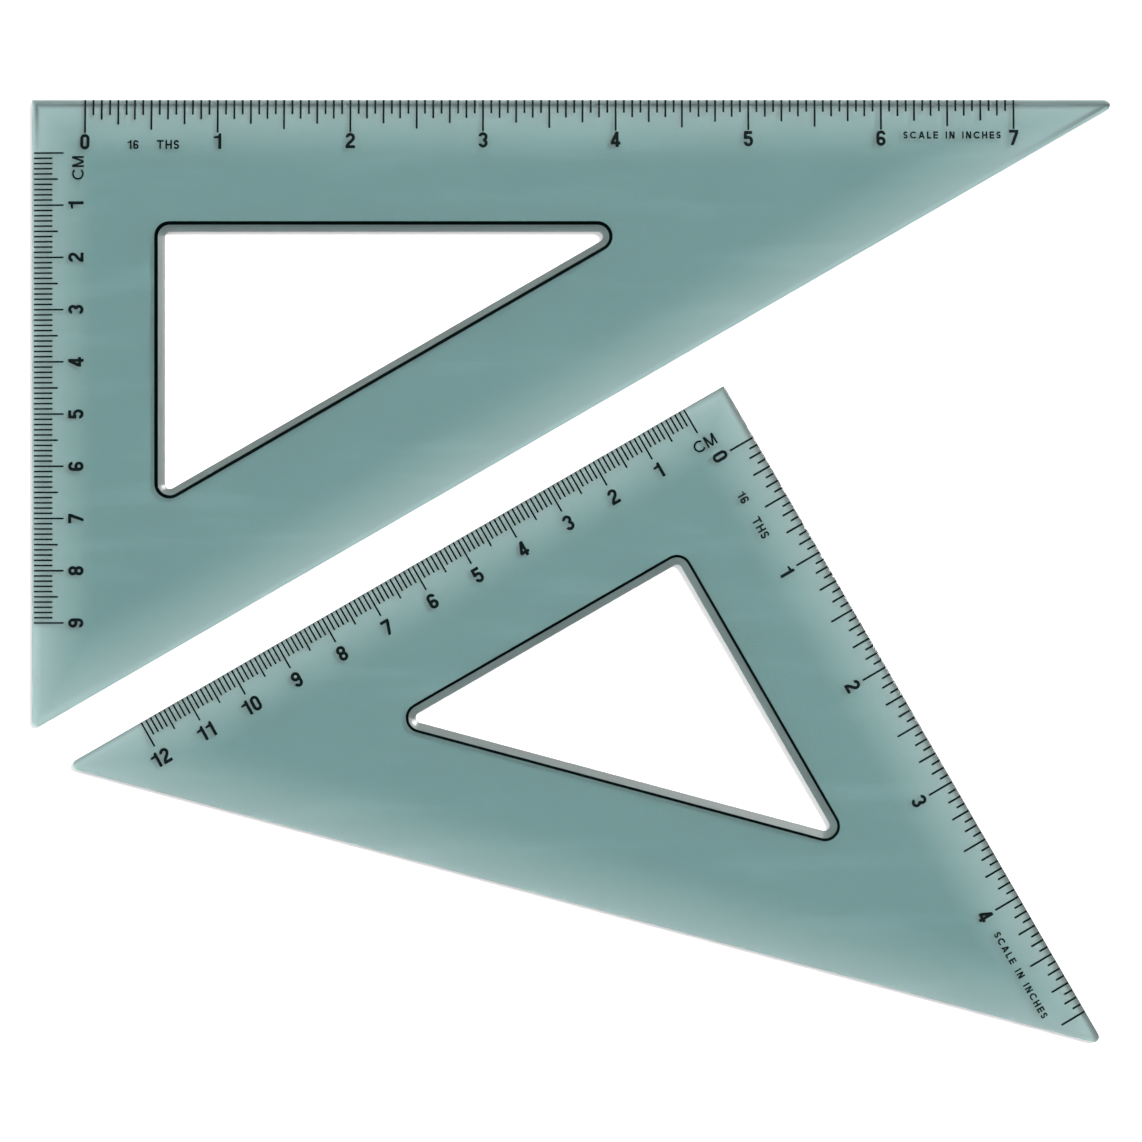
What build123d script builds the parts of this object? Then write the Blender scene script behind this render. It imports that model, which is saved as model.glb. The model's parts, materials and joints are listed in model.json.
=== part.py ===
from build123d import *
import os
from dataclasses import dataclass
from math import hypot, sqrt

# A matched pair of moulded set squares lying face up: one 30/60/90, one 45/45/90.
# Each is a clear tinted plate with bevelled edges, a stepped triangular cut-out, and
# printed inch and centimetre scales on the bevels beside its right angle.
# Millimetres, +Z up, origin under the middle of the pair.
# In a square's own frame the right angle is at the origin, the inch edge runs along +X
# and the centimetre edge along -Y.

INCH = 25.4

# Plate
CM_EDGE_60 = 121.0
INCH_EDGE_60 = CM_EDGE_60 * sqrt(3)
EDGE_45 = 146.1
THICKNESS = 2.0
EDGE_THICKNESS = 1.2
BEVEL_WIDTH = 12.0
TIP_RADIUS = 1.05
CORNER_RADIUS = 0.3
INCH_EDGE_ROUND = 0.8

# Cut-out: a steep step down from the face, then a shallow slope to a plain opening
OPENING_RADIUS = 1.0
RIM_WIDTH = 1.9
STEP_WIDTH = 0.6
STEP_DEPTH = 0.45
SLOPE_DEPTH = 0.45

# The second square lies with its centimetre edge beside the first one's long side
PAIR_GAP = 9.0
PAIR_SHIFT = 1.9

# Ink
INK = 0.04
INCH_MARK = 0.38
CM_MARK = 0.34
NUMERAL_HEIGHT = 3.0
NUMERAL_WEIGHT = 0.6
UNIT_HEIGHT = 1.76
UNIT_WEIGHT = 0.34
CM_HEIGHT = 2.3
CM_WEIGHT = 0.36
WORD_HEIGHT = 1.4
WORD_WEIGHT = 0.3
WORD_GAP = 1.45
NUMERAL_SPACING = 0.45
SIXTEENTHS = (16, 8, 4, 2, 1)
MILLIMETRES = (10, 5, 1)


@dataclass(frozen=True)
class Scale:
    """One printed scale, measured along its edge from the right angle and in from the edge.

    steps says how many divisions apart each length of mark comes, longest first, and depths
    how far in from the edge each of those lengths reaches. drift says how much nearer to the
    edge the print comes with each millimetre along it.
    """

    unit: float
    zero: float
    limit: int
    steps: tuple[int, ...]
    start: float
    depths: tuple[float, ...]
    numerals: range
    numeral_depth: float
    mark: float
    drift: float = 0


@dataclass(frozen=True)
class Label:
    """One small line of printed characters."""

    text: str
    along: float
    depth: float
    height: float
    weight: float
    spacing: float


@dataclass(frozen=True)
class SetSquare:
    """Sizes of one set square and of what is printed on it."""

    name: str
    inch_edge: float
    cm_edge: float
    opening_insets: tuple[float, float, float]
    inches: Scale
    centimetres: Scale
    unit: tuple[Label, Label]
    word: Label
    cm: Label

    def triangle(self, from_inch: float = 0, from_cm: float = 0, from_hypotenuse: float = 0):
        """Corners of the outline moved in by a distance from each of its three sides."""
        shrink = hypot(1 / self.inch_edge, 1 / self.cm_edge)
        reach = 1 - from_hypotenuse * shrink
        return [
            (from_cm, -from_inch),
            (self.inch_edge * (reach - from_inch / self.cm_edge), -from_inch),
            (from_cm, -self.cm_edge * (reach - from_cm / self.inch_edge)),
        ]


SQUARE_60 = SetSquare(
    name="60",
    inch_edge=INCH_EDGE_60,
    cm_edge=CM_EDGE_60,
    opening_insets=(25.3, 25.5, 26.8),
    inches=Scale(INCH, 10.3, 7, SIXTEENTHS, 0.85, (6.6, 6.0, 4.95, 4.0, 3.1), range(0, 8), 8.25,
                 INCH_MARK, 0.0047),
    centimetres=Scale(10, 10.3, 9, MILLIMETRES, 0.45, (6.2, 5.1, 4.05), range(1, 10), 8.6, CM_MARK),
    unit=(
        Label("16", 19.5, 8.75, UNIT_HEIGHT, UNIT_WEIGHT, 0.30),
        Label("THS", 26.2, 8.75, UNIT_HEIGHT, UNIT_WEIGHT, 0.32),
    ),
    word=Label("SCALE IN INCHES", 176.3, 6.9, WORD_HEIGHT, WORD_WEIGHT, 0.42),
    cm=Label("CM", 13.2, 9.0, CM_HEIGHT, CM_WEIGHT, 0.40),
)
SQUARE_45 = SetSquare(
    name="45",
    inch_edge=EDGE_45,
    cm_edge=EDGE_45,
    opening_insets=(24.5, 25.1, 25.8),
    inches=Scale(INCH, 11.4, 5, SIXTEENTHS, 0.85, (5.3, 4.9, 3.8, 2.8, 1.9), range(0, 5), 7.5, INCH_MARK),
    centimetres=Scale(10, 9.0, 12, MILLIMETRES, 0.2, (5.4, 4.4, 3.3), range(1, 13), 7.9, CM_MARK),
    unit=(
        Label("16", 20.4, 7.6, UNIT_HEIGHT, UNIT_WEIGHT, 0.30),
        Label("THS", 27.1, 7.6, UNIT_HEIGHT, UNIT_WEIGHT, 0.32),
    ),
    word=Label("SCALE IN INCHES", 126.2, 7.3, WORD_HEIGHT, WORD_WEIGHT, 0.42),
    cm=Label("CM", 8.8, 7.8, CM_HEIGHT, CM_WEIGHT, 0.40),
)


# Printed characters: strokes of even weight about a centre line


def draw_zero(h: float, t: float) -> Sketch:
    w = (h + t) / 2
    with BuildSketch() as face:
        with Locations((w / 2, h / 2)):
            SlotOverall(h, w, rotation=90)
            SlotOverall(h - 2 * t, w - 2 * t, rotation=90, mode=Mode.SUBTRACT)
    return face.sketch


def draw_one(h: float, t: float) -> Sketch:
    w = 0.28 * h + t
    with BuildSketch() as face:
        with BuildLine():
            Polyline((w - t, 0), (w, 0), (w, h), (w - 0.8 * t, h), (w - t, 0.86 * h), (0, 0.80 * h),
                     (0, 0.68 * h), (w - t, 0.68 * h), close=True)
        make_face()
    return face.sketch


def draw_two(h: float, t: float) -> Sketch:
    a, r = t / 2, (h - t) / 4
    w = 2 * (r + a)
    with BuildSketch() as face:
        with BuildLine():
            ThreePointArc((a, h - a - r), (w / 2, h - a), (w - a, h - a - r))
            Bezier((w - a, h - a - r), (w - a, h - a - 2.2 * r), (a, a + 1.3 * r), (a, a))
        trace(line_width=t)
        with Locations((w / 2, a)):
            Rectangle(w, t)
    return face.sketch


def draw_three(h: float, t: float) -> Sketch:
    a, r = t / 2, (h - t) / 4
    w = 2 * (r + a)
    with BuildSketch() as face:
        with BuildLine():
            CenterArc((w / 2, h - a - r), r, 170, -260)
        trace(line_width=t)
        with BuildLine():
            CenterArc((w / 2, a + r), r, 90, -260)
        trace(line_width=t)
    return face.sketch


def draw_four(h: float, t: float) -> Sketch:
    w = 0.62 * h
    stem, bar = w - 1.1 * t, 0.26 * h
    with BuildSketch() as face:
        with Locations((stem, h / 2)):
            Rectangle(t, h)
        with Locations((w / 2, bar)):
            Rectangle(w, t)
        with BuildLine():
            Polyline((0, bar), (0, bar + t / 2), (stem - t / 2, h), (stem, h), (stem, h - t), (t, bar),
                     close=True)
        make_face()
    return face.sketch


def draw_five(h: float, t: float) -> Sketch:
    a, r = t / 2, (h - t) / 4
    w = 2 * (r + a)
    waist = 0.48 * h
    with BuildSketch() as face:
        with BuildLine():
            Polyline((w - 0.6 * a, h - a), (1.2 * a, h - a), (a, waist))
        trace(line_width=t)
        with BuildLine():
            ThreePointArc((a, waist), (w / 2, waist + 0.55 * r), (w - a, waist - 0.45 * r))
            Line((w - a, waist - 0.45 * r), (w - a, a + r))
            ThreePointArc((w - a, a + r), (w / 2, a), (a, a + r))
        trace(line_width=t)
    return face.sketch


def draw_six(h: float, t: float) -> Sketch:
    a, r = t / 2, (h - t) / 4
    w = 2 * (r + a)
    bowl = 0.60 * h
    with BuildSketch() as face:
        with Locations((w / 2, bowl / 2)):
            SlotOverall(bowl, w, rotation=90)
            SlotOverall(bowl - 2 * t, w - 2 * t, rotation=90, mode=Mode.SUBTRACT)
        with BuildLine():
            CenterArc((w / 2, h - a - r), r, 5, 175)
            Line((a, h - a - r), (a, bowl / 2))
        trace(line_width=t)
    return face.sketch


def draw_seven(h: float, t: float) -> Sketch:
    w = (h + t) / 2
    with BuildSketch() as face:
        with BuildLine():
            Polyline((0, h), (w, h), (w, h - t), (0.5 * w, 0), (0.5 * w - t, 0), (w - 1.15 * t, h - t),
                     (0, h - t), close=True)
        make_face()
    return face.sketch


def draw_eight(h: float, t: float) -> Sketch:
    r = (h + t) / 4
    with BuildSketch() as face:
        with Locations((r, r), (r, h - r)):
            Circle(r)
        with Locations((r, r), (r, h - r)):
            Circle(r - t, mode=Mode.SUBTRACT)
    return face.sketch


def draw_nine(h: float, t: float) -> Sketch:
    with BuildSketch() as face:
        add(draw_six(h, t), rotation=180)
    low = face.sketch.bounding_box().min
    return face.sketch.moved(Location((-low.X, -low.Y)))


def draw_c(h: float, t: float) -> Sketch:
    with BuildSketch() as face:
        with BuildLine():
            CenterArc((h / 2, h / 2), (h - t) / 2, 40, 280)
        trace(line_width=t)
    return face.sketch


def draw_m(h: float, t: float) -> Sketch:
    w = 0.92 * h
    with BuildSketch() as face:
        with Locations((t / 2, h / 2), (w - t / 2, h / 2)):
            Rectangle(t, h)
        with BuildLine():
            Polyline((0, h), (1.2 * t, h), (w / 2, 1.3 * t), (w - 1.2 * t, h), (w, h),
                     (w / 2 + 0.6 * t, 0), (w / 2 - 0.6 * t, 0), close=True)
        make_face()
    return face.sketch


def draw_t(h: float, t: float) -> Sketch:
    w = 0.76 * h
    with BuildSketch() as face:
        with Locations((w / 2, h - t / 2)):
            Rectangle(w, t)
        with Locations((w / 2, h / 2)):
            Rectangle(t, h)
    return face.sketch


def draw_h(h: float, t: float) -> Sketch:
    w = 0.72 * h
    with BuildSketch() as face:
        with Locations((t / 2, h / 2), (w - t / 2, h / 2)):
            Rectangle(t, h)
        with Locations((w / 2, h / 2)):
            Rectangle(w, t)
    return face.sketch


def draw_s(h: float, t: float) -> Sketch:
    a, r = t / 2, (h - t) / 4
    with BuildSketch() as face:
        with BuildLine():
            CenterArc((r + a, h - a - r), r, 10, 260)
            CenterArc((r + a, a + r), r, 90, -260)
        trace(line_width=t)
    return face.sketch


def draw_i(h: float, t: float) -> Sketch:
    with BuildSketch() as face:
        with Locations((t / 2, h / 2)):
            Rectangle(t, h)
    return face.sketch


def draw_n(h: float, t: float) -> Sketch:
    w = 0.72 * h
    with BuildSketch() as face:
        with Locations((t / 2, h / 2), (w - t / 2, h / 2)):
            Rectangle(t, h)
        with BuildLine():
            Polyline((0, h), (1.2 * t, h), (w, 0), (w - 1.2 * t, 0), close=True)
        make_face()
    return face.sketch


def draw_e(h: float, t: float) -> Sketch:
    w = 0.64 * h
    with BuildSketch() as face:
        with Locations((t / 2, h / 2)):
            Rectangle(t, h)
        with Locations((w / 2, t / 2), (w / 2, h / 2), (w / 2, h - t / 2)):
            Rectangle(w, t)
    return face.sketch


def draw_a(h: float, t: float) -> Sketch:
    w, bar = 0.84 * h, 0.3 * h
    with BuildSketch() as face:
        with BuildLine():
            Polyline((0, 0), (w / 2 - 0.55 * t, h), (w / 2 + 0.55 * t, h), (w, 0), (w - 1.1 * t, 0),
                     (w / 2, h - 1.4 * t), (1.1 * t, 0), close=True)
        make_face()
        with Locations((w / 2, bar)):
            Rectangle(0.5 * w, t)
    return face.sketch


def draw_l(h: float, t: float) -> Sketch:
    w = 0.58 * h
    with BuildSketch() as face:
        with Locations((t / 2, h / 2)):
            Rectangle(t, h)
        with Locations((w / 2, t / 2)):
            Rectangle(w, t)
    return face.sketch


GLYPHS = {
    "0": draw_zero, "1": draw_one, "2": draw_two, "3": draw_three, "4": draw_four,
    "5": draw_five, "6": draw_six, "7": draw_seven, "8": draw_eight, "9": draw_nine,
    "C": draw_c, "M": draw_m, "T": draw_t, "H": draw_h, "S": draw_s,
    "I": draw_i, "N": draw_n, "E": draw_e, "A": draw_a, "L": draw_l,
}


def print_text(text: str, along: float, depth: float, height: float, weight: float, spacing: float):
    """Add a centred line of characters to the open sketch."""
    words = [[GLYPHS[character](height, weight) for character in word] for word in text.split()]
    widths = [[face.bounding_box().size.X for face in word] for word in words]
    total = sum(map(sum, widths)) + spacing * sum(len(word) - 1 for word in words)
    x = along - (total + WORD_GAP * (len(words) - 1)) / 2
    for word, sizes in zip(words, widths):
        for face, width in zip(word, sizes):
            with Locations((x, -depth - height / 2)):
                add(face)
            x += width + spacing
        x += WORD_GAP - spacing


def print_label(label: Label, sense: int):
    """Add one label to the open sketch; sense is -1 where the scale runs against the text."""
    print_text(label.text, sense * label.along, label.depth, label.height, label.weight, label.spacing)


def print_numerals(scale: Scale, sense: int):
    """Add a scale's numerals to the open sketch, each centred on its own mark."""
    for value in scale.numerals:
        along = scale.zero + value * scale.unit
        depth = scale.numeral_depth - scale.drift * along
        print_text(str(value), sense * along, depth, NUMERAL_HEIGHT, NUMERAL_WEIGHT, NUMERAL_SPACING)


def print_ticks(scale: Scale, sense: int):
    """Add a scale's marks to the open sketch."""
    divisions = scale.steps[0]
    for number in range(scale.limit * divisions + 1):
        level = next(i for i, step in enumerate(scale.steps) if number % step == 0)
        along = scale.zero + number * scale.unit / divisions
        length = scale.depths[level] - scale.drift * along - scale.start
        with Locations((sense * along, -scale.start - length / 2)):
            Rectangle(scale.mark, length)


def make_plate(square: SetSquare, frame: Plane) -> Part:
    """The moulding: bevelled top, rounded corners, stepped cut-out."""
    with BuildPart() as plate:
        with BuildSketch(frame):
            Polygon(*square.triangle(), align=None)
        extrude(amount=EDGE_THICKNESS)
        with BuildSketch(frame.offset(EDGE_THICKNESS)):
            Polygon(*square.triangle(), align=None)
        with BuildSketch(frame.offset(THICKNESS)):
            Polygon(*square.triangle(BEVEL_WIDTH, BEVEL_WIDTH, BEVEL_WIDTH), align=None)
        loft()
        inch_side = frame.from_local_coords(Vector(square.inch_edge / 2, 0, EDGE_THICKNESS))
        fillet(plate.edges().sort_by_distance(inch_side)[0], INCH_EDGE_ROUND)
        with BuildSketch(frame):
            add(outline(square))
        extrude(amount=THICKNESS, mode=Mode.INTERSECT)

        with BuildSketch(frame) as opening:
            Polygon(*square.triangle(*square.opening_insets), align=None)
            fillet(opening.vertices(), OPENING_RADIUS)
        extrude(amount=THICKNESS, mode=Mode.SUBTRACT)
        ledge = THICKNESS - STEP_DEPTH
        rim = ((0, ledge - SLOPE_DEPTH), (RIM_WIDTH - STEP_WIDTH, ledge), (RIM_WIDTH, THICKNESS))
        for (inner, low), (outer, high) in zip(rim, rim[1:]):
            for reach, height in ((inner, low), (outer, high)):
                with BuildSketch(frame.offset(height)):
                    add(opening.sketch_local)
                    if reach:
                        offset(amount=reach, kind=Kind.ARC)
            loft(ruled=True, mode=Mode.SUBTRACT)
    return plate.part


def outline(square: SetSquare) -> Sketch:
    """The rounded outline of a square in its own frame."""
    with BuildSketch() as face:
        Polygon(*square.triangle(), align=None)
        corners = face.vertices().sort_by_distance((0, 0))
        fillet(corners[1:], TIP_RADIUS)
        fillet(face.vertices().sort_by_distance((0, 0))[0], CORNER_RADIUS)
    return face.sketch


def bevel(frame: Plane, side: str) -> Plane:
    """The sloped face along one scale: +X is the reading direction, +Y points off the edge."""
    slope = (THICKNESS - EDGE_THICKNESS) / BEVEL_WIDTH
    if side == "inch":
        local = Plane((0, 0, EDGE_THICKNESS), x_dir=(1, 0, 0), z_dir=(0, slope, 1))
    else:
        local = Plane((0, 0, EDGE_THICKNESS), x_dir=(0, 1, 0), z_dir=(-slope, 0, 1))
    return Plane(frame.location * local.location)


def write(part: Part, name: str):
    """Label a finished piece and write it."""
    part.label = name
    export_step(part, f"parts/{name}.step")


def make_square(square: SetSquare, frame: Plane):
    """Make and write one set square: its plate and everything printed on it."""
    name = square.name
    inch_face, cm_face = bevel(frame, "inch"), bevel(frame, "cm")
    write(make_plate(square, frame), f"plate_{name}")

    with BuildPart() as inch_ticks:
        with BuildSketch(inch_face):
            print_ticks(square.inches, 1)
        extrude(amount=INK)
    write(inch_ticks.part, f"inch_ticks_{name}")

    with BuildPart() as inch_numerals:
        with BuildSketch(inch_face):
            print_numerals(square.inches, 1)
        extrude(amount=INK)
    write(inch_numerals.part, f"inch_numerals_{name}")

    with BuildPart() as inch_unit:
        with BuildSketch(inch_face):
            for label in square.unit:
                print_label(label, 1)
        extrude(amount=INK)
    write(inch_unit.part, f"inch_unit_{name}")

    with BuildPart() as inch_word:
        with BuildSketch(inch_face):
            print_label(square.word, 1)
        extrude(amount=INK)
    write(inch_word.part, f"inch_word_{name}")

    with BuildPart() as cm_ticks:
        with BuildSketch(cm_face):
            print_ticks(square.centimetres, -1)
        extrude(amount=INK)
    write(cm_ticks.part, f"cm_ticks_{name}")

    with BuildPart() as cm_numerals:
        with BuildSketch(cm_face):
            print_numerals(square.centimetres, -1)
        extrude(amount=INK)
    write(cm_numerals.part, f"cm_numerals_{name}")

    with BuildPart() as cm_unit:
        with BuildSketch(cm_face):
            print_label(square.cm, -1)
        extrude(amount=INK)
    write(cm_unit.part, f"cm_unit_{name}")


def pair_frames() -> tuple[Plane, Plane]:
    """Frames of both squares, with the origin under the middle of the pair."""
    along = Vector(INCH_EDGE_60, CM_EDGE_60).normalized()
    away = Vector(CM_EDGE_60, -INCH_EDGE_60).normalized()
    left_tip = Vector(0, -CM_EDGE_60) + along * PAIR_SHIFT + away * PAIR_GAP
    first = Plane.XY
    second = Plane(left_tip + along * EDGE_45, x_dir=away, z_dir=(0, 0, 1))
    with BuildSketch() as footprint:
        for square, frame in ((SQUARE_60, first), (SQUARE_45, second)):
            add(outline(square).moved(frame.location))
    middle = footprint.sketch.bounding_box().center()
    return tuple(Plane(frame.origin - middle, x_dir=frame.x_dir, z_dir=(0, 0, 1)) for frame in (first, second))


os.makedirs("parts", exist_ok=True)
for square, frame in zip((SQUARE_60, SQUARE_45), pair_frames()):
    make_square(square, frame)
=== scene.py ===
"""Looks of a matched pair of clear tinted set squares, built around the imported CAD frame."""

from __future__ import annotations

import json
import logging
import math
from dataclasses import dataclass
from enum import Enum
from typing import Any, Sequence

import bpy
from mathutils import Matrix, Vector


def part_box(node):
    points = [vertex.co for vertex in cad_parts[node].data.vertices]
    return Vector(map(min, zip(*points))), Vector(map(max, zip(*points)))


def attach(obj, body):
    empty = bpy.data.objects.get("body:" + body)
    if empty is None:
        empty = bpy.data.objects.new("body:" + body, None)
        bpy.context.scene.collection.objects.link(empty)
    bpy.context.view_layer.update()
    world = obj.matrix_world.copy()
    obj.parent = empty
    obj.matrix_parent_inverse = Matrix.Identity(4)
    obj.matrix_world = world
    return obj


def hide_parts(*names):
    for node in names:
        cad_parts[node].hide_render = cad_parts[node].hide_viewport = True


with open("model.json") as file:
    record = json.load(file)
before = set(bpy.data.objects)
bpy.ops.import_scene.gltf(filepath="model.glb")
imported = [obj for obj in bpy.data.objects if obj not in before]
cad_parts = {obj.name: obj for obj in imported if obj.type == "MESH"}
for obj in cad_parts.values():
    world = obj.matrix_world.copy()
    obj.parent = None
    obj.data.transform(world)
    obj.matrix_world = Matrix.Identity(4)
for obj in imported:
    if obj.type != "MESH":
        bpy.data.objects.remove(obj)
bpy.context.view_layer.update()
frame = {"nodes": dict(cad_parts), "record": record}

MM = 0.001
INCH = 25.4 * MM

Point2 = tuple[float, float]
log = logging.getLogger("set_squares")


class Side(Enum):
    """The three sides of a set square, in the order its outline runs from the right angle."""

    CM = 0
    LONG = 1
    INCH = 2


class Level(Enum):
    """How long a scale mark is, from the longest."""

    WHOLE = 0
    HALF = 1
    QUARTER = 2
    EIGHTH = 3
    SIXTEENTH = 4


# Shader maths


class Value:
    """A shader socket, or a plain number, that Python's operators work on."""

    def __init__(self, board: "Board", socket: Any) -> None:
        """Wrap one output socket of a board's node tree."""
        self.board = board
        self.socket = socket

    def _math(self, operation: str, *others: Any) -> "Value":
        """Add one Math node that works on this value."""
        return self.board.node("ShaderNodeMath", {"operation": operation}, self, *others)

    def __add__(self, other: Any) -> "Value":
        """self + other."""
        return self._math("ADD", other)

    def __radd__(self, other: Any) -> "Value":
        """other + self."""
        return self._math("ADD", other)

    def __sub__(self, other: Any) -> "Value":
        """self - other."""
        return self._math("SUBTRACT", other)

    def __rsub__(self, other: Any) -> "Value":
        """other - self."""
        return self.board.node("ShaderNodeMath", {"operation": "SUBTRACT"}, other, self)

    def __mul__(self, other: Any) -> "Value":
        """self * other."""
        return self._math("MULTIPLY", other)

    def __rmul__(self, other: Any) -> "Value":
        """other * self."""
        return self._math("MULTIPLY", other)

    def __truediv__(self, other: Any) -> "Value":
        """self / other."""
        return self._math("DIVIDE", other)

    def __rtruediv__(self, other: Any) -> "Value":
        """other / self."""
        return self.board.node("ShaderNodeMath", {"operation": "DIVIDE"}, other, self)


class Board:
    """A material's or a world's node tree, with a single way to add nodes to it."""

    def __init__(self, owner: bpy.types.Material | bpy.types.World) -> None:
        """Start an empty node tree in a material or a world."""
        owner.use_nodes = True
        self.owner = owner
        self.tree = owner.node_tree
        self.tree.nodes.clear()

    @classmethod
    def material(cls, name: str) -> "Board":
        """An empty board for a new material."""
        return cls(bpy.data.materials.new(name))

    def node(
        self, kind: str, settings: dict[str, Any], *values: Any, out: str | int = 0, **named: Any
    ) -> Value:
        """Add a node.

        Args:
            kind: Blender's name for the node's type.
            settings: Properties of the node, set before its sockets.
            values: What goes into its sockets, in order; None leaves one as it is.
            out: The output that the result wraps.
            named: What goes into sockets chosen by name, with _ for a space.

        Returns:
            The node's chosen output as a Value.
        """
        node = self.tree.nodes.new(kind)
        for key, setting in settings.items():
            setattr(node, key, setting)
        sockets = [(node.inputs[i], value) for i, value in enumerate(values)]
        sockets += [(node.inputs[key.replace("_", " ")], value) for key, value in named.items()]
        for socket, value in sockets:
            if isinstance(value, Value):
                self.tree.links.new(value.socket, socket)
            elif value is not None:
                socket.default_value = value
        return Value(self, node.outputs[out])

    def stretched(self, scale: Sequence[float], turn: float = 0.0) -> Value:
        """Object coordinates in metres, turned about Z and scaled."""
        place = self.node("ShaderNodeTexCoord", {}, out="Object")
        return self.node("ShaderNodeMapping", {}, place, None, (0.0, 0.0, turn), tuple(scale))

    def noise(self, vector: Value, scale: float, detail: float = 3.0, rough: float = 0.5) -> Value:
        """Smooth noise, about 0 to 1."""
        return self.node("ShaderNodeTexNoise", {}, vector, Scale=scale, Detail=detail, Roughness=rough)

    def ramp(self, value: Value, low: float, high: float) -> Value:
        """Value carried from low..high to 0..1 and held there."""
        return self.node("ShaderNodeMapRange", {"clamp": True}, value, low, high, 0.0, 1.0)

    def blend(self, factor: Any, first: Any, second: Any) -> Value:
        """A colour between two others."""
        node = self.tree.nodes.new("ShaderNodeMix")
        node.data_type = "RGBA"
        for socket, value in ((node.inputs[0], factor), (node.inputs[6], first), (node.inputs[7], second)):
            if isinstance(value, Value):
                self.tree.links.new(value.socket, socket)
            else:
                socket.default_value = value
        return Value(self, node.outputs[2])

    def attribute(self, name: str) -> Value:
        """A number stored on the mesh's points or faces."""
        return self.node("ShaderNodeAttribute", {"attribute_name": name}, out="Fac")

    def finish(self, surface: Value, volume: Value | None = None) -> Any:
        """Plug the shaders into the output and return the material or world."""
        world = isinstance(self.owner, bpy.types.World)
        output = self.tree.nodes.new("ShaderNodeOutputWorld" if world else "ShaderNodeOutputMaterial")
        self.tree.links.new(surface.socket, output.inputs["Surface"])
        if volume is not None:
            self.tree.links.new(volume.socket, output.inputs["Volume"])
        return self.owner


def grey(level: float) -> tuple[float, float, float, float]:
    """An even colour."""
    return (level, level, level, 1.0)


# Finishes


@dataclass(frozen=True)
class ClearPlastic:
    """Polished clear plastic with a smoke-green tint that deepens with thickness.

    On the mesh, attributes mark the mould-finished slope round the cut-out, which is rougher and
    painted a grey shade; the steep ledge, painted near black as painted shade for the light it turns
    away; a painted dark line of shade along the rounded edges; a painted light line just inside
    them; and the thin outer part of the bevels, painted paler as painted light.
    """

    name: str = "tinted_plastic"
    ior: float = 1.49
    polish: float = 0.02
    haze: float = 0.16
    absorbs: tuple[float, float, float] = (440.0, 265.0, 265.0)
    density: float = 1000.0
    clean: tuple[float, float, float, float] = (0.635, 0.648, 0.640, 1.0)
    smeared: tuple[float, float, float, float] = (0.700, 0.702, 0.694, 1.0)
    # Painted light: paler tone for the thin outer bevels, over and above the tint that the volume gives.
    thin: tuple[float, float, float, float] = (0.830, 0.805, 0.788, 1.0)
    # Painted shade: grey for the slope round the cut-out, standing for the shade its refraction gives.
    rim: tuple[float, float, float, float] = (0.28, 0.27, 0.26, 1.0)
    # Painted shade: near black for the steep ledge round the cut-out, which only looks black because it
    # turns light away.
    black: tuple[float, float, float, float] = (0.002, 0.005, 0.005, 1.0)
    # Painted shade: dark tone for the line of shade along the rounded edges.
    edge_shade_tone: tuple[float, float, float, float] = (0.11, 0.10, 0.10, 1.0)
    sheen: float = 0.10

    def make(self) -> bpy.types.Material:
        """Build the material."""
        board = Board.material(self.name)
        flow = board.noise(board.stretched((1.0, 1.0, 1.0)), 38.0, 4.0, 0.55)
        wear = board.noise(board.stretched((1.0, 14.0, 1.0), math.radians(24)), 160.0, 5.0, 0.6)
        grain = board.noise(board.stretched((1.0, 1.0, 1.0)), 900.0, 3.0, 0.6)
        scuffs = board.ramp(wear, 0.62, 0.80)
        drawn = board.stretched((0.22, 1.5, 1.0), math.radians(15))
        smear = board.ramp(board.noise(drawn, 110.0, 4.0, 0.55), 0.54, 0.72)
        dull, step, brink, glow, brim = (
            board.attribute(name) for name in ("dull", "step", "brink", "glow", "brim")
        )
        tone = board.blend(smear, self.clean, self.smeared)
        # Painted light: the thin outer bevels are painted paler, more on the cm and inch sides than the
        # long side.
        tone = board.blend(glow, tone, self.thin)
        # Painted highlight: a light line is painted just inside the edges.
        tone = board.blend(brim, tone, grey(1.0))
        # Painted shade: a dark line is painted along the rounded edges.
        tone = board.blend(brink, tone, self.edge_shade_tone)
        # Painted shade: the rough slope round the cut-out is painted grey.
        tone = board.blend(dull, tone, self.rim)
        # Painted shade: the steep ledge is painted near black.
        tone = board.blend(step, tone, self.black)
        bump = board.node("ShaderNodeBump", {}, Strength=0.03, Distance=0.4 * MM, Height=flow)
        rough = self.polish + scuffs * self.haze + dull * (0.28 + grain * 0.08)
        # Full Metallic on the ledge keeps its painted black from passing light; the slope gets a little
        # metallic reflection.
        surface = board.node(
            "ShaderNodeBsdfPrincipled", {}, Base_Color=tone, Metallic=step + dull * self.sheen,
            Roughness=rough, IOR=self.ior, Transmission_Weight=1.0, Normal=bump,
        )
        tint = tuple(1.0 - taken / self.density for taken in self.absorbs) + (1.0,)
        volume = board.node("ShaderNodeVolumeAbsorption", {}, tint, self.density)
        return board.finish(surface, volume)


@dataclass(frozen=True)
class ScaleInk:
    """Thin screen-printed ink, nearly black, a little uneven."""

    name: str = "scale_ink"
    dark: tuple[float, float, float, float] = (0.002, 0.005, 0.005, 1.0)
    thin: tuple[float, float, float, float] = (0.006, 0.011, 0.011, 1.0)

    def make(self) -> bpy.types.Material:
        """Build the material."""
        board = Board.material(self.name)
        mottle = board.noise(board.stretched((1.0, 1.0, 1.0)), 2600.0, 4.0, 0.65)
        colour = board.blend(board.ramp(mottle, 0.45, 0.75), self.dark, self.thin)
        bump = board.node("ShaderNodeBump", {}, Strength=0.2, Distance=0.01 * MM, Height=mottle)
        surface = board.node(
            "ShaderNodeBsdfPrincipled", {}, Base_Color=colour, Roughness=0.42 + mottle * 0.2,
            Specular_IOR_Level=0.04, Normal=bump,
        )
        return board.finish(surface)


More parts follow.
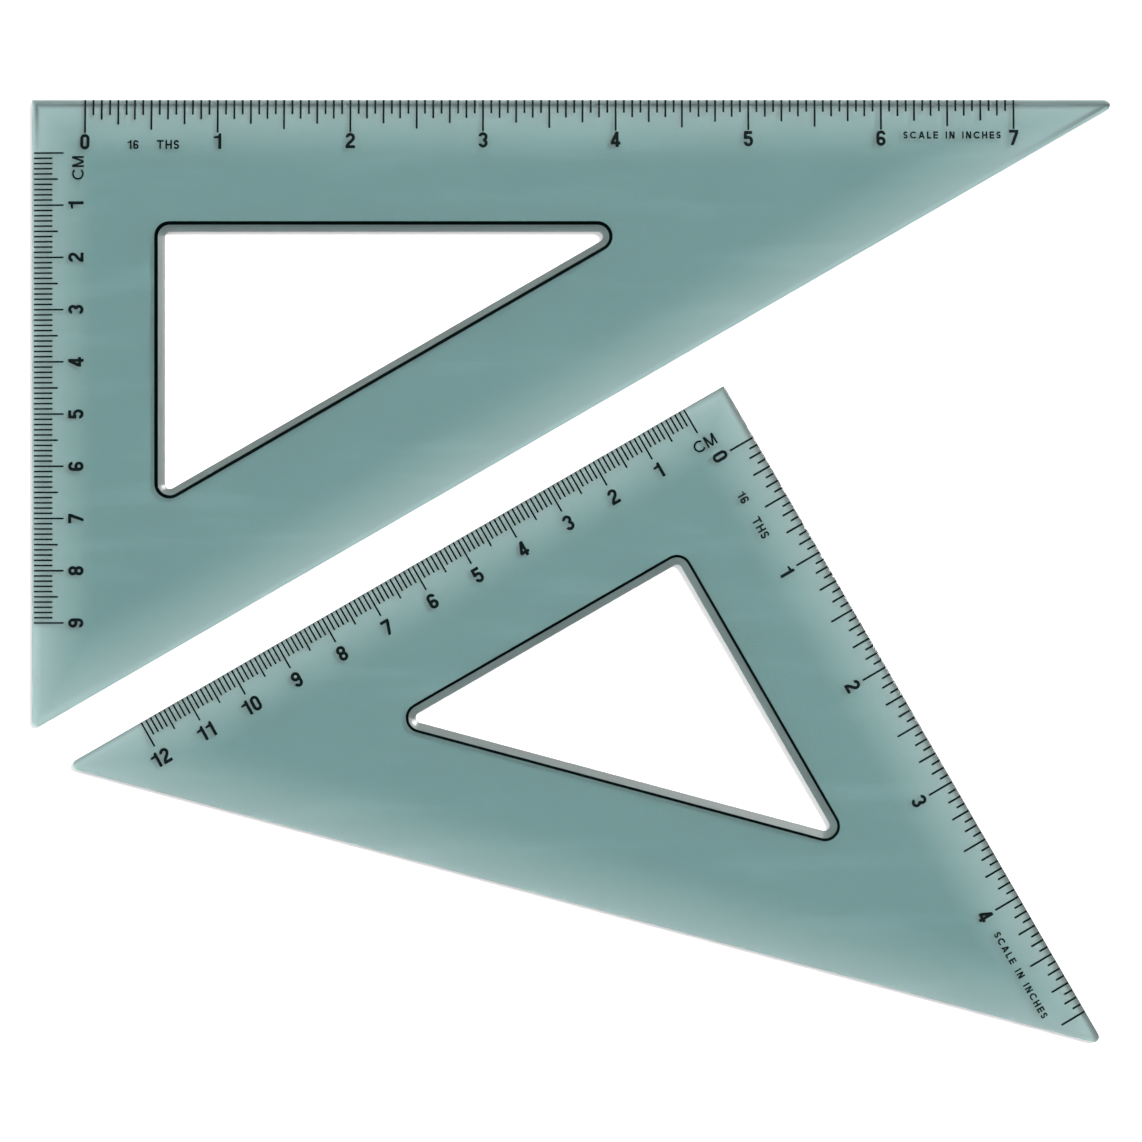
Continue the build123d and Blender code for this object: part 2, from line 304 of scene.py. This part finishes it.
@dataclass(frozen=True)
class PaleFloor:
    """Plain white paper under the pair."""

    name: str = "paper"
    colour: tuple[float, float, float, float] = (0.93, 0.93, 0.93, 1.0)
    lift: float = 0.40

    def make(self) -> bpy.types.Material:
        """Build the material."""
        board = Board.material(self.name)
        matt = board.node("ShaderNodeBsdfDiffuse", {}, self.colour)
        lit = board.node("ShaderNodeEmission", {}, self.colour, self.lift)
        return board.finish(board.node("ShaderNodeAddShader", {}, matt, lit))


# Plates


@dataclass(frozen=True)
class Ring:
    """One closed line round the plate: how far it lies in from each side, and how high."""

    insets: tuple[float, float, float]
    heights: tuple[float, float, float]
    radii: tuple[float, float, float]


class Zone(Enum):
    """What a band of the plate's surface is like."""

    PLAIN = 0
    # Painted shade: the ledge band is painted near black and the slope band grey.
    STEP = 1
    DULL = 2


@dataclass(frozen=True)
class Station:
    """A point of a side's cross-section, and what the band up to the next point is like."""

    reach: float
    height: float
    zone: Zone = Zone.PLAIN


@dataclass
class Plate:
    """One moulded plate: bevelled top, rounded edges, triangular cut-out with a stepped rim.

    In its own frame the right angle is at the origin, the inch side runs along +X and the
    centimetre side along -Y.
    """

    node: str
    body: str
    inch_side: float
    cm_side: float
    opening_insets: tuple[float, float, float]
    place: Matrix
    thickness: float = 2.0 * MM
    edge: float = 1.2 * MM
    bevel: float = 12.0 * MM
    crown_blend: float = 0.8 * MM
    tip_radius: float = 1.05 * MM
    corner_radius: float = 0.3 * MM
    inch_round: float = 0.3 * MM
    edge_round: float = 0.3 * MM
    foot_round: float = 0.12 * MM
    opening_radius: float = 1.0 * MM
    rim_width: float = 1.9 * MM
    step_width: float = 0.5 * MM
    step_depth: float = 0.45 * MM
    slope_depth: float = 0.45 * MM
    arc_points: int = 14
    side_points: int = 10
    least_radius: float = 0.1 * MM
    # Painted light and shade along the edges: how strongly each side's outer bevel is painted paler, where
    # a light line is painted just inside each edge (weights, ends and fades), and how dark a line of shade
    # is painted along each rounded edge (reach in millimetres, level).
    glow_weights: tuple[float, float, float] = (1.0, 0.5, 1.0)
    highlight_weights: tuple[float, float, float] = (0.9, 1.0, 0.0)
    highlight_ends: tuple[float, float, float] = (2.0 * MM, 1.0 * MM, 0.9 * MM)
    highlight_fades: tuple[float, float, float] = (1.2 * MM, 0.8 * MM, 0.35 * MM)
    inch_roll: tuple[Point2, ...] = ((0.0, 0.9), (0.3, 0.65), (0.8, 0.35), (1.3, 0.1), (1.6, 0.0))
    long_roll: tuple[Point2, ...] = ((0.0, 0.6), (0.12, 0.45), (0.32, 0.0))
    cm_roll: tuple[Point2, ...] = ((0.0, 0.55), (0.4, 0.4), (0.8, 0.1), (1.0, 0.0))

    @property
    def slope(self) -> float:
        """Rise of the bevel per unit of distance from the edge."""
        return (self.thickness - self.edge) / self.bevel

    def from_sides(self, x: float, y: float) -> tuple[float, float, float]:
        """How far a point lies from the cm, long and inch sides."""
        rise = math.hypot(1.0 / self.inch_side, 1.0 / self.cm_side)
        return x, (1.0 - x / self.inch_side + y / self.cm_side) / rise, -y

    def corners(self, insets: Sequence[float]) -> list[Vector]:
        """Corners of the outline moved in from its sides: right angle, cm tip, inch tip."""
        from_cm, from_long, from_inch = insets
        reach = 1.0 - from_long * math.hypot(1.0 / self.inch_side, 1.0 / self.cm_side)
        return [
            Vector((from_cm, -from_inch)),
            Vector((from_cm, -self.cm_side * (reach - from_cm / self.inch_side))),
            Vector((self.inch_side * (reach - from_inch / self.cm_side), -from_inch)),
        ]

    def trace(self, ring: Ring) -> list[tuple[float, float, float]]:
        """Points of one ring, counter-clockwise from the right angle."""
        corners = self.corners(ring.insets)
        arcs: list[list[tuple[Vector, float]]] = []
        for index, corner in enumerate(corners):
            into = (corner - corners[index - 1]).normalized()
            away = (corners[(index + 1) % 3] - corner).normalized()
            half = (math.pi - into.angle(away)) / 2
            radius = ring.radii[index]
            centre = corner + (away - into).normalized() * radius / math.sin(half)
            start = math.atan2(-into.x, into.y)
            sweep = math.pi - 2 * half
            before, after = ring.heights[index - 1], ring.heights[index]
            arc = []
            for step in range(self.arc_points):
                share = step / (self.arc_points - 1)
                angle = start + sweep * share
                spoke = Vector((math.cos(angle), math.sin(angle)))
                arc.append((centre + spoke * radius, before + (after - before) * share))
            arcs.append(arc)
        points = []
        for index, arc in enumerate(arcs):
            points += [(p.x, p.y, z) for p, z in arc]
            start, z = arc[-1]
            end = arcs[(index + 1) % 3][0][0]
            for step in range(1, self.side_points + 1):
                p = start.lerp(end, step / (self.side_points + 1))
                points.append((p.x, p.y, z))
        return points

    def edge_section(self, side: Side) -> list[Station]:
        """Cross-section of one side from under its foot to the flat top."""
        round_top = self.inch_round if side is Side.INCH else self.edge_round
        tilt = math.atan(self.slope)
        stations = [Station(self.bevel, 0.0), Station(self.foot_round + 0.3 * MM, 0.0)]
        for step in range(5):
            angle = math.radians(90) * step / 4
            reach = self.foot_round * (1 - math.sin(angle))
            stations.append(Station(reach, self.foot_round * (1 - math.cos(angle))))
        middle = self.edge + self.slope * round_top - round_top * math.hypot(1, self.slope)
        steps = 10
        for step in range(steps + 1):
            angle = (math.pi / 2 - tilt) * step / steps
            reach = round_top * (1 - math.cos(angle))
            stations.append(Station(reach, middle + round_top * math.sin(angle)))
        for reach in (0.82, 0.95, 1.1, 1.3, 1.5, 1.75, 2.0, 6.0):
            stations.append(Station(reach * MM, self.edge + self.slope * reach * MM))
        start = self.bevel - self.crown_blend
        for step in range(11):
            x = 2 * self.crown_blend * step / 10
            height = self.edge + self.slope * (start + x) - self.slope * x * x / (4 * self.crown_blend)
            stations.append(Station(start + x, height))
        return stations

    def rim_section(self) -> list[Station]:
        """Cross-section of the rim from the flat top down through the opening to the foot."""
        top = self.thickness
        ledge = top - self.step_depth
        lip = ledge - self.slope_depth
        corners = [
            (self.rim_width + 1.0 * MM, top, 0.0, Zone.PLAIN),
            (self.rim_width, top, 0.10 * MM, Zone.STEP),
            (self.rim_width - self.step_width, ledge, 0.08 * MM, Zone.DULL),
            (self.rim_width - self.step_width - 0.45 * MM, ledge - 0.1 * MM, 0.05 * MM, Zone.DULL),
            (0.4 * MM, ledge - 0.3 * MM, 0.05 * MM, Zone.DULL),
            (0.0, lip, 0.10 * MM, Zone.PLAIN),
            (0.0, 0.0, 0.10 * MM, Zone.PLAIN),
            (0.8 * MM, 0.0, 0.0, Zone.PLAIN),
        ]
        return soften(corners)

    def rings(self) -> tuple[list[Ring], list[Station]]:
        """Every ring of the plate in order, and the station that each belongs to."""
        sections = [self.edge_section(side) for side in Side]
        rings, bands = [], []
        for stations in zip(*sections):
            insets = tuple(station.reach for station in stations)
            radii = tuple(
                max(radius - (insets[i] + insets[i - 1]) / 2, self.least_radius)
                for i, radius in enumerate((self.corner_radius, self.tip_radius, self.tip_radius))
            )
            rings.append(Ring(insets, tuple(s.height for s in stations), radii))
            bands.append(stations[0])
        for station in self.rim_section():
            insets = tuple(inset - station.reach for inset in self.opening_insets)
            rings.append(Ring(insets, (station.height,) * 3, (self.opening_radius + station.reach,) * 3))
            bands.append(station)
        return rings, bands

    def brink(self, x: float, y: float, z: float) -> float:
        """Painted shade: how dark a point is painted in the line of shade along the rounded edges."""
        if z < self.foot_round:
            return 0.0
        rolls = zip((self.cm_roll, self.long_roll, self.inch_roll), self.from_sides(x, y))
        return max(level_at(profile, reach / MM) for profile, reach in rolls)

    def brim(self, x: float, y: float, z: float) -> float:
        """Painted highlight: how far a point of the top lies in the light line painted just inside an edge.
        """
        if z < self.foot_round:
            return 0.0
        bands = zip(self.highlight_weights, self.highlight_ends, self.highlight_fades, self.from_sides(x, y))
        return max(weight * min(1.0, max(0.0, (end - reach) / fade)) for weight, end, fade, reach in bands)

    def glow(self, x: float, y: float, z: float) -> float:
        """Painted light: how far a point of the top or the underside is painted paler towards the thin
        edges.
        """
        glows = zip(self.glow_weights, self.from_sides(x, y))
        return max(0.0, *(weight * (1.0 - reach / self.bevel) for weight, reach in glows))

    def mesh(self) -> bpy.types.Mesh:
        """The closed moulding, in the row frame."""
        rings, bands = self.rings()
        loops = [self.trace(ring) for ring in rings]
        count = len(loops[0])
        verts = [point for loop in loops for point in loop]
        faces, zones = [], []
        for index, band in enumerate(bands):
            a, b = index * count, (index + 1) % len(loops) * count
            for k in range(count):
                n = (k + 1) % count
                faces.append((a + k, a + n, b + n, b + k))
                zones.append(band.zone)
        mesh = bpy.data.meshes.new(self.node + "_moulding")
        mesh.from_pydata(verts, [], faces)
        # Painted shade: these face attributes paint the ledge near black and the slope grey.
        for zone, name in ((Zone.STEP, "step"), (Zone.DULL, "dull")):
            levels = [float(found is zone) for found in zones]
            mesh.attributes.new(name, "FLOAT", "FACE").data.foreach_set("value", levels)
        # Painted light and shade on the points: the dark line along the edges, the paler thin bevels and
        # the light line just inside the edges.
        for name, measure in (("brink", self.brink), ("glow", self.glow), ("brim", self.brim)):
            levels = [measure(*point) for point in verts]
            mesh.attributes.new(name, "FLOAT", "POINT").data.foreach_set("value", levels)
        mesh.transform(self.place)
        mesh.validate()
        mesh.update()
        return mesh

    def build(self, plastic: bpy.types.Material) -> bpy.types.Object:
        """Make the piece, dress it and set it on its body."""
        piece = bpy.data.objects.new(self.node.replace("plate", "moulding"), self.mesh())
        bpy.context.scene.collection.objects.link(piece)
        piece.data.materials.append(plastic)
        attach(piece, self.body)
        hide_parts(self.node)
        log.info("%s: %d faces on %s", piece.name, len(piece.data.polygons), self.body)
        return piece


def level_at(profile: Sequence[Point2], reach: float) -> float:
    """A profile's level at a reach in millimetres, and nothing past its end."""
    if reach >= profile[-1][0]:
        return 0.0
    (start, low), (end, high) = next(pair for pair in zip(profile, profile[1:]) if reach <= pair[1][0])
    return low + (high - low) * max(0.0, reach - start) / (end - start)


def soften(corners: Sequence[tuple[float, float, float, Zone]], steps: int = 4) -> list[Station]:
    """Round the corners of a cross-section.

    Args:
        corners: Reach, height, rounding radius and the zone of the band that follows, for each corner.
        steps: Faces in each rounding.

    Returns:
        The stations of the rounded section.
    """
    stations = []
    for index, (reach, height, radius, zone) in enumerate(corners):
        if radius <= 0.0:
            stations.append(Station(reach, height, zone))
            continue
        here = Vector((reach, height))
        into = (here - Vector(corners[index - 1][:2])).normalized()
        away = (Vector(corners[index + 1][:2]) - here).normalized()
        length = radius * math.tan(into.angle(away) / 2)
        start, end = here - into * length, here + away * length
        for step in range(steps + 1):
            t = step / steps
            point = start.lerp(here, t).lerp(here.lerp(end, t), t)
            stations.append(Station(point.x, point.y, zone if t >= 0.5 else corners[index - 1][3]))
    return stations


# Printed marks


@dataclass
class TickRow:
    """One row of scale marks, repeated by geometry nodes along an edge."""

    name: str
    node: str
    body: str
    place: Matrix
    pitch: float
    count: int
    zero: float
    start: float
    depths: tuple[float, ...]
    steps: tuple[int, ...]
    edge: float
    slope: float
    round_top: float
    width: float
    drift: float = 0.0
    film: float = 0.02 * MM

    def tree(self, ink: bpy.types.Material) -> bpy.types.NodeTree:
        """Node tree that lays the marks along +X and bends each over the edge's profile."""
        tree = bpy.data.node_groups.new(self.name + "_tree", "GeometryNodeTree")
        face = tree.interface
        face.new_socket("Geometry", in_out="INPUT", socket_type="NodeSocketGeometry")
        for title in ("Pitch", "Zero", "Start", "Drift", "Width", "Film", "Edge", "Slope", "Round"):
            face.new_socket(title, in_out="INPUT", socket_type="NodeSocketFloat")
        face.new_socket("Count", in_out="INPUT", socket_type="NodeSocketInt")
        for level in list(Level)[: len(self.depths)]:
            face.new_socket(level.name.title() + " depth", in_out="INPUT", socket_type="NodeSocketFloat")
        face.new_socket("Ink", in_out="INPUT", socket_type="NodeSocketMaterial")
        face.new_socket("Geometry", in_out="OUTPUT", socket_type="NodeSocketGeometry")
        given = tree.nodes.new("NodeGroupInput").outputs

        def add(kind: str, settings: dict[str, Any], *values: Any) -> Any:
            """Add one node and feed its sockets in order."""
            node = tree.nodes.new(kind)
            for key, setting in settings.items():
                setattr(node, key, setting)
            for socket, value in zip(node.inputs, values):
                if isinstance(value, bpy.types.NodeSocket):
                    tree.links.new(value, socket)
                elif value is not None:
                    socket.default_value = value
            return node.outputs[0]

        def maths(operation: str, *values: Any) -> Any:
            """Add one Math node."""
            return add("ShaderNodeMath", {"operation": operation}, *values)

        line = tree.nodes.new("GeometryNodeMeshLine")
        line.mode = "OFFSET"
        tree.links.new(given["Count"], line.inputs["Count"])
        spacing = add("ShaderNodeCombineXYZ", {}, given["Pitch"], 0.0, 0.0)
        first = add("ShaderNodeCombineXYZ", {}, given["Zero"], maths("MULTIPLY", given["Start"], -1.0), 0.0)
        tree.links.new(first, line.inputs["Start Location"])
        tree.links.new(spacing, line.inputs["Offset"])
        index = tree.nodes.new("GeometryNodeInputIndex").outputs[0]
        depth: Any = given[list(Level)[len(self.depths) - 1].name.title() + " depth"]
        for level, step in reversed(list(zip(list(Level), self.steps[:-1]))):
            rest = maths("MODULO", index, float(step))
            hit = add("FunctionNodeCompare", {"data_type": "FLOAT", "operation": "LESS_THAN"}, rest, 0.5)
            switch = tree.nodes.new("GeometryNodeSwitch")
            switch.input_type = "FLOAT"
            tree.links.new(hit, switch.inputs["Switch"])
            tree.links.new(depth, switch.inputs["False"])
            tree.links.new(given[level.name.title() + " depth"], switch.inputs["True"])
            depth = switch.outputs[0]
        along = maths("ABSOLUTE", maths("ADD", given["Zero"], maths("MULTIPLY", given["Pitch"], index)))
        depth = maths("SUBTRACT", depth, maths("MULTIPLY", given["Drift"], along))
        bar = tree.nodes.new("GeometryNodeMeshCube")
        bar.inputs["Size"].default_value = (1.0, 1.0, 1.0)
        bar.inputs["Vertices X"].default_value = 2
        bar.inputs["Vertices Y"].default_value = 15
        bar.inputs["Vertices Z"].default_value = 2
        shift = tree.nodes.new("GeometryNodeTransform")
        tree.links.new(bar.outputs["Mesh"], shift.inputs["Geometry"])
        shift.inputs["Translation"].default_value = (0.0, -0.5, 0.0)
        length = maths("SUBTRACT", depth, given["Start"])
        size = add("ShaderNodeCombineXYZ", {}, given["Width"], length, given["Film"])
        copies = tree.nodes.new("GeometryNodeInstanceOnPoints")
        tree.links.new(line.outputs["Mesh"], copies.inputs["Points"])
        tree.links.new(shift.outputs[0], copies.inputs["Instance"])
        tree.links.new(size, copies.inputs["Scale"])
        real = add("GeometryNodeRealizeInstances", {}, copies.outputs[0])
        where = tree.nodes.new("ShaderNodeSeparateXYZ")
        tree.links.new(tree.nodes.new("GeometryNodeInputPosition").outputs[0], where.inputs[0])
        reach = maths("MULTIPLY", where.outputs["Y"], -1.0)
        plane = maths("ADD", given["Edge"], maths("MULTIPLY", reach, given["Slope"]))
        short = maths("MAXIMUM", maths("SUBTRACT", given["Round"], reach), 0.0)
        squares = [maths("MULTIPLY", side, side) for side in (given["Round"], short)]
        across = maths("SQRT", maths("MAXIMUM", maths("SUBTRACT", *squares), 0.0))
        drop = maths("SUBTRACT", given["Round"], across)
        height = maths("SUBTRACT", plane, drop)
        lift = add("ShaderNodeCombineXYZ", {}, 0.0, 0.0, height)
        bent = tree.nodes.new("GeometryNodeSetPosition")
        tree.links.new(real, bent.inputs["Geometry"])
        tree.links.new(lift, bent.inputs["Offset"])
        inked = tree.nodes.new("GeometryNodeSetMaterial")
        tree.links.new(bent.outputs[0], inked.inputs["Geometry"])
        tree.links.new(given["Ink"], inked.inputs["Material"])
        tree.links.new(inked.outputs[0], tree.nodes.new("NodeGroupOutput").inputs[0])
        return tree

    def build(self, ink: bpy.types.Material) -> bpy.types.Object:
        """Lay the row, turn it to a plain mesh in the row frame and set it on its body."""
        holder = bpy.data.objects.new(self.name + "_holder", bpy.data.meshes.new(self.name + "_seed"))
        bpy.context.scene.collection.objects.link(holder)
        modifier = holder.modifiers.new("marks", "NODES")
        modifier.node_group = self.tree(ink)
        given: dict[str, Any] = {
            "Pitch": self.pitch, "Zero": self.zero, "Start": self.start, "Drift": self.drift,
            "Width": self.width, "Film": self.film, "Edge": self.edge, "Slope": self.slope,
            "Round": self.round_top, "Count": self.count, "Ink": ink,
        }
        for level, depth in zip(Level, self.depths):
            given[level.name.title() + " depth"] = depth
        for socket in modifier.node_group.interface.items_tree:
            if socket.in_out == "INPUT" and socket.name in given:
                modifier[socket.identifier] = given[socket.name]
        scene = bpy.context.evaluated_depsgraph_get()
        mesh = bpy.data.meshes.new_from_object(holder.evaluated_get(scene))
        bpy.data.objects.remove(holder)
        mesh.transform(self.place)
        piece = bpy.data.objects.new(self.name, mesh)
        bpy.context.scene.collection.objects.link(piece)
        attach(piece, self.body)
        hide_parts(self.node)
        log.info("%s: %d faces on %s", piece.name, len(mesh.polygons), self.body)
        return piece


@dataclass
class SetSquare:
    """One set square: its plate, its rows of marks and its printed characters."""

    name: str
    plate: Plate
    inch_zero: float
    inch_limit: int
    inch_depths: tuple[float, ...]
    cm_zero: float
    cm_limit: int
    cm_start: float
    cm_depths: tuple[float, ...]
    inch_drift: float = 0.0
    inch_start: float = 0.12 * MM
    inch_mark: float = 0.38 * MM
    cm_mark: float = 0.34 * MM

    def tick_rows(self) -> list[TickRow]:
        """Both rows of marks; the cm row runs down from the right angle."""
        plate = self.plate
        down = plate.place @ Matrix.Rotation(math.radians(90), 4, "Z")
        shared = {"body": plate.body, "edge": plate.edge, "slope": plate.slope}
        inch = TickRow(
            f"inch_marks_{self.name}", f"inch_ticks_{self.name}", place=plate.place, pitch=INCH / 16,
            count=16 * self.inch_limit + 1, zero=self.inch_zero, start=self.inch_start,
            depths=self.inch_depths, steps=(16, 8, 4, 2, 1), round_top=plate.inch_round,
            width=self.inch_mark, drift=self.inch_drift, **shared,
        )
        cm = TickRow(
            f"cm_marks_{self.name}", f"cm_ticks_{self.name}", place=down, pitch=-1.0 * MM,
            count=10 * self.cm_limit + 1, zero=-self.cm_zero, start=self.cm_start, depths=self.cm_depths,
            steps=(10, 5, 1), round_top=plate.edge_round, width=self.cm_mark, **shared,
        )
        return [inch, cm]

    def dress(self, plastic: bpy.types.Material, ink: bpy.types.Material) -> None:
        """Build the plate and marks, and ink the printed characters."""
        self.plate.build(plastic)
        for row in self.tick_rows():
            row.build(ink)
        for kind in ("inch_numerals", "inch_unit", "inch_word", "cm_numerals", "cm_unit"):
            node = frame["nodes"][f"{kind}_{self.name}"]
            node.data.materials.clear()
            node.data.materials.append(ink)
            log.info("%s: inked", node.name)


def mount(name: str) -> tuple[Vector, Vector]:
    """A mount's point and outward direction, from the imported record."""
    found = next(m for m in frame["record"]["mounts"] if m["name"] == name)
    return Vector(found["pos_m"]), Vector(found["axis"])


def make_squares() -> list[SetSquare]:
    """Both set squares, placed from the CAD frame."""
    low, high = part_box("plate_60")
    upper = Matrix.Translation((low.x, high.y, 0.0))
    cm_side_60 = 121.0 * MM
    leg = 146.1 * MM
    middle, outward = mount("long_edge_45")
    corner = middle - outward * leg / math.sqrt(2)
    turn = math.atan2(outward.y, outward.x) + math.radians(45)
    lower = Matrix.Translation((corner.x, corner.y, 0.0)) @ Matrix.Rotation(turn, 4, "Z")
    plate_60 = Plate(
        "plate_60", "set_square_60", cm_side_60 * math.sqrt(3), cm_side_60,
        (25.5 * MM, 26.8 * MM, 25.3 * MM), upper, inch_round=0.2 * MM,
        # Painted shade and light lines along this plate's edges.
        cm_roll=((0.0, 0.5), (0.12, 0.3), (0.3, 0.0)),
        highlight_weights=(0.9, 1.0, 1.0), step_width=0.65 * MM,
        inch_roll=((0.0, 0.0), (0.5, 0.0), (0.82, 0.7), (1.05, 1.0), (1.25, 0.85), (1.6, 0.3), (2.0, 0.0)),
    )
    plate_45 = Plate(
        "plate_45", "set_square_45", leg, leg, (25.1 * MM, 25.8 * MM, 24.5 * MM), lower,
        # Painted light line just inside this plate's edges.
        highlight_weights=(0.5, 0.4, 0.0),
    )
    return [
        SetSquare(
            "60", plate_60, 10.3 * MM, 7, tuple(d * MM for d in (6.6, 6.0, 4.95, 4.0, 3.1)),
            10.3 * MM, 9, 0.45 * MM, tuple(d * MM for d in (6.2, 5.1, 4.05)), 0.0047,
        ),
        SetSquare(
            "45", plate_45, 11.4 * MM, 5, tuple(d * MM for d in (5.3, 4.9, 3.8, 2.8, 1.9)),
            9.0 * MM, 12, 0.15 * MM, tuple(d * MM for d in (5.4, 4.4, 3.3)),
        ),
    ]


# Studio


@dataclass
class Studio:
    """Plain floor, soft even light and the camera straight above the pair."""

    view_width: float = 218.8 * MM
    distance: float = 0.62
    focus_height: float = 1.2 * MM
    floor_gap: float = 0.15 * MM
    sheet: float = 12.0
    surround: float = 0.70
    lean: tuple[float, float, float] = (-0.4, 0.5, 0.0)
    key: float = 42.0
    key_azimuth: float = 37.0
    key_elevation: float = 52.0

    def floor(self) -> None:
        """A wide sheet of paper just under the plates."""
        half = self.sheet / 2
        rim = [(-half, -half, 0), (half, -half, 0), (half, half, 0), (-half, half, 0)]
        mesh = bpy.data.meshes.new("paper")
        mesh.from_pydata(rim, [], [(0, 1, 2, 3)])
        mesh.transform(Matrix.Translation((0.0, 0.0, -self.floor_gap)))
        floor = bpy.data.objects.new("paper", mesh)
        floor.data.materials.append(PaleFloor().make())
        bpy.context.scene.collection.objects.link(floor)

    def light(self) -> None:
        """White surroundings, dark straight overhead, with a compact key light at the right."""
        board = Board(bpy.data.worlds.new("studio"))
        ray = board.node("ShaderNodeTexCoord", {}, out="Generated")

        def facing(way: Sequence[float]) -> Value:
            """Cosine of the angle between a ray and a direction."""
            return board.node("ShaderNodeVectorMath", {"operation": "DOT_PRODUCT"}, ray, way, out="Value")

        def spread(way: Sequence[float], start: float, end: float) -> Value:
            """0 at the start angle from a direction and 1 at the end angle, in degrees."""
            return board.ramp(facing(way), math.cos(math.radians(start)), math.cos(math.radians(end)))

        dome = self.surround * spread((0.0, 0.0, 1.0), 20.0, 30.0) * (facing(self.lean) + 1.0)
        turn, lift = math.radians(self.key_azimuth), math.radians(self.key_elevation)
        toward = (math.cos(turn) * math.cos(lift), math.sin(turn) * math.cos(lift), math.sin(lift))
        key = self.key * spread(toward, 12.0, 8.0)
        background = board.node("ShaderNodeBackground", {}, grey(1.0), dome + key)
        bpy.context.scene.world = board.finish(background)

    def camera(self) -> None:
        """A long lens looking straight down, with the far edge of the pair at the top."""
        data = bpy.data.cameras.new("camera")
        data.sensor_width = 36.0
        data.lens = data.sensor_width * (self.distance - self.focus_height) / self.view_width
        data.clip_start = 0.01
        camera = bpy.data.objects.new("camera", data)
        camera.location = (0.0, 0.0, self.distance)
        bpy.context.scene.collection.objects.link(camera)
        bpy.context.scene.camera = camera

    def build(self) -> None:
        """Set the whole stage."""
        bpy.context.scene.view_settings.view_transform = "Standard"
        bpy.context.scene.cycles.blur_glossy = 0.0
        self.floor()
        self.light()
        self.camera()


def main() -> None:
    """Build every class in order."""
    logging.basicConfig(level=logging.INFO, format="%(name)s: %(message)s")
    Studio().build()
    plastic, ink = ClearPlastic().make(), ScaleInk().make()
    for square in make_squares():
        square.dress(plastic, ink)


if __name__ == "__main__":
    main()
